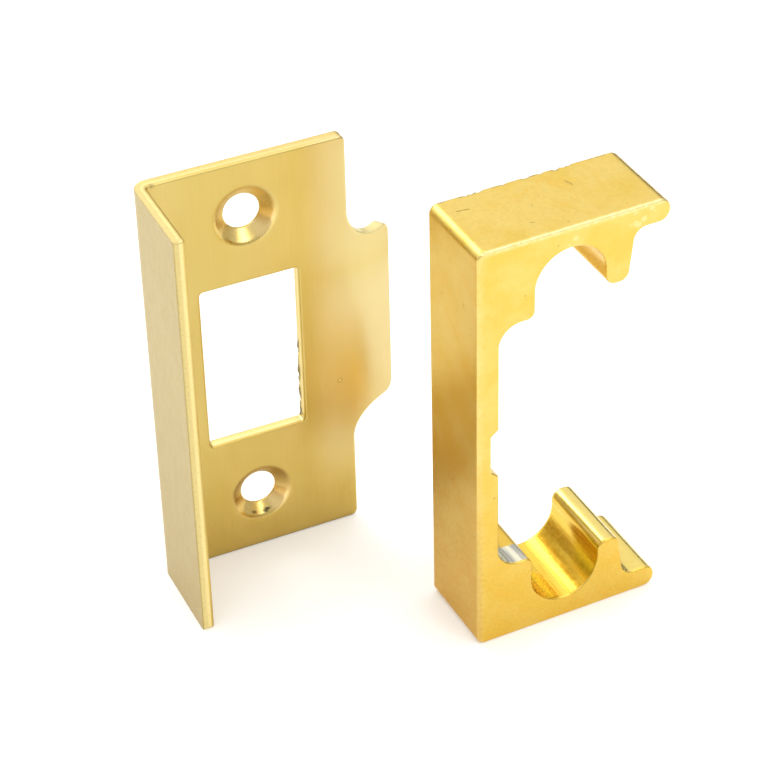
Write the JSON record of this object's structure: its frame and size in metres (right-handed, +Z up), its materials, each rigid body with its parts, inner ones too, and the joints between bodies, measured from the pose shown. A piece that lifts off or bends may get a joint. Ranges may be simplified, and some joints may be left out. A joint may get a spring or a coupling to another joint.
{
  "type": "rebate kit for a tubular lock or latch",
  "caption": "Rebate kit for a tubular door lock: an L-shaped pressed brass strike plate with a curled lip and a C-shaped cast rebate spacer.",
  "frame": {"origin": "middle of the kit's footprint, on the surface that both pieces stand on", "axes": "+X along the strike plate's width from the fold to the curled lip, +Y from the plate's front face to its back, +Z up along the height of both pieces"},
  "size_m": [0.0538, 0.0332, 0.057],
  "materials": {
    "satin_brass": "satin, fine brushing along the height, lacquered",
    "plated_zinc": "glossy electro-brassed zinc die casting with small pits and worn edges"
  },
  "bodies": {
    "strike": {"strike_plate": "satin_brass"},
    "spacer": {"rebate_spacer": "plated_zinc"}
  },
  "joints": [
    {"name": "spacer_lift", "type": "slide", "parent": "strike", "child": "spacer", "axis": [0, 0, 1], "range_m": [0, 0.06]}
  ]
}
